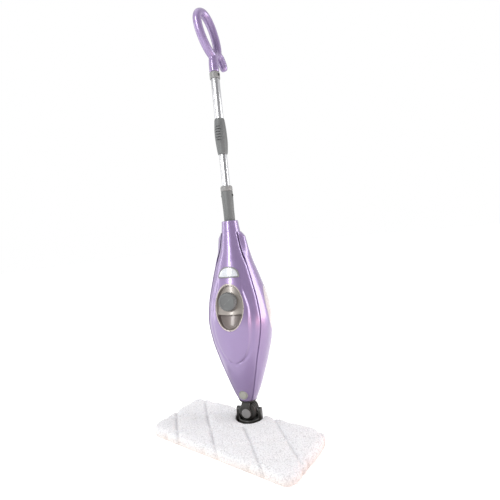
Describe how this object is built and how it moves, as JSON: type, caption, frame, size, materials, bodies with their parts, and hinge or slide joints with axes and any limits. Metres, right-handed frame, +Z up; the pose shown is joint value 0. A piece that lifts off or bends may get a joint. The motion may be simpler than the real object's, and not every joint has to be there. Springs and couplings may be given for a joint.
{
  "type": "steam mop",
  "caption": "Upright steam mop: wide flat head with a quilted microfibre pad, universal joint, spindle-shaped steam unit with water cap and level window, pump tubes and a leaning loop handle.",
  "frame": {"origin": "centre of the pad's flat sole, on the floor", "axes": "+Z up along the mop, X along the pad's long side, -Y towards the pad's front edge; the steam unit faces 17 degrees from -Y towards +X at rest"},
  "size_m": [0.465, 0.2608, 1.1602],
  "materials": {
    "microfibre_pad": "quilted white pile",
    "lavender_plastic": "pearl gloss",
    "dark_grey_plastic": "satin",
    "black_plastic": "satin",
    "mid_grey_plastic": "satin",
    "taupe_plastic": "satin metallic",
    "grey_green_plastic": "satin",
    "badge_face": "gloss",
    "window_plastic": "translucent",
    "tube_aluminium": "brushed anodised",
    "steel": "plain",
    "brass": "plain",
    "silicone": "matte",
    "tank_plastic": "clear moulding"
  },
  "bodies": {
    "mop_head": {"cleaning_pad": "microfibre_pad", "head_plate": "mid_grey_plastic", "head_cover": "taupe_plastic", "steam_rail_left": "silicone", "steam_rail_right": "silicone"},
    "turntable": {"swivel_base": "black_plastic", "recline_pin_left": "steel", "recline_pin_right": "steel"},
    "cross": {"swivel_cross": "black_plastic"},
    "steam_unit": {"joint_yoke": "black_plastic", "tilt_pin": "steel", "pivot_cap_front": "mid_grey_plastic", "pivot_cap_rear": "mid_grey_plastic", "lower_bezel": "black_plastic", "front_shell": "lavender_plastic", "rear_shell": "lavender_plastic", "water_window": "window_plastic", "filler_panel": "taupe_plastic", "badge": "badge_face", "badge_rim": "mid_grey_plastic", "button_ring": "grey_green_plastic", "button_spring": "steel", "water_tank": "tank_plastic", "tank_neck": "tank_plastic", "boiler": "tube_aluminium", "heating_element": "steel", "thermostat": "steel", "thermal_fuse": "brass", "terminal_block": "badge_face", "steam_pipe": "silicone", "feed_pipe": "silicone", "check_valve": "brass", "pump_cylinder": "mid_grey_plastic", "return_spring": "steel", "cord_gland": "black_plastic", "shell_screw_1": "steel", "shell_screw_2": "steel", "shell_screw_3": "steel", "shell_screw_4": "steel"},
    "release_button": {"release_button": "grey_green_plastic"},
    "cap_seal": {"cap_gasket": "silicone"},
    "water_cap": {"water_cap": "dark_grey_plastic"},
    "cord_hook": {"cord_hook": "dark_grey_plastic"},
    "handle": {"pump_sleeve": "dark_grey_plastic", "lower_collar": "mid_grey_plastic", "lower_tube": "tube_aluminium", "mid_grip": "dark_grey_plastic", "upper_tube": "tube_aluminium", "upper_collar": "mid_grey_plastic", "handle_left": "lavender_plastic", "handle_right": "lavender_plastic", "pump_rod": "steel", "pump_piston": "silicone"},
    "tube_button_left": {"tube_button_left": "black_plastic"},
    "tube_button_right": {"tube_button_right": "black_plastic"},
    "snap_button": {"snap_button": "black_plastic"}
  },
  "joints": [
    {"name": "head_swivel", "type": "hinge", "parent": "mop_head", "child": "turntable", "pos_m": [0, 0.072, 0.0165], "axis": [0, 0, 1], "range_deg": [-62, 28]},
    {"name": "recline", "type": "hinge", "parent": "turntable", "child": "cross", "pos_m": [0, 0.072, 0.05], "axis": [-0.9563, -0.2924, 0], "range_deg": [-15, 66]},
    {"name": "side_tilt", "type": "hinge", "parent": "cross", "child": "steam_unit", "pos_m": [0, 0.072, 0.05], "axis": [-0.2924, 0.9563, 0], "range_deg": [-33, 33]},
    {"name": "pump_stroke", "type": "slide", "parent": "steam_unit", "child": "handle", "axis": [0, 0, 1], "range_m": [-0.02, 0], "stiffness_N_per_m": 400, "springref_m": 0.035, "deforming": ["return_spring"]},
    {"name": "button_press", "type": "slide", "parent": "steam_unit", "child": "release_button", "axis": [-0.2924, 0.9563, 0], "range_m": [0, 0.003], "stiffness_N_per_m": 300, "springref_m": -0.003, "deforming": ["button_spring"]},
    {"name": "cap_lift", "type": "slide", "parent": "steam_unit", "child": "cap_seal", "axis": [0.2924, -0.9563, 0], "range_m": [0, 0.0121]},
    {"name": "cap_turn", "type": "hinge", "parent": "cap_seal", "child": "water_cap", "pos_m": [0.0187, 0.0108, 0.379], "axis": [0.2924, -0.9563, 0], "range_deg": [0, 720]},
    {"name": "hook_turn", "type": "hinge", "parent": "steam_unit", "child": "cord_hook", "pos_m": [-0.0135, 0.1161, 0.5], "axis": [-0.2924, 0.9563, 0], "range_deg": [0, 180]},
    {"name": "left_button_press", "type": "slide", "parent": "handle", "child": "tube_button_left", "axis": [0.9563, 0.2924, 0], "range_m": [0, 0.002], "stiffness_N_per_m": 200, "springref_m": -0.002},
    {"name": "right_button_press", "type": "slide", "parent": "handle", "child": "tube_button_right", "axis": [-0.9563, -0.2924, 0], "range_m": [0, 0.002], "stiffness_N_per_m": 200, "springref_m": -0.002},
    {"name": "snap_press", "type": "slide", "parent": "handle", "child": "snap_button", "axis": [-1, 0, 0], "range_m": [0, 0.002], "stiffness_N_per_m": 200, "springref_m": -0.002}
  ],
  "couplings": [
    {"joint": "cap_lift", "follows": "cap_turn", "m_per_rad": 0.00095493}
  ]
}
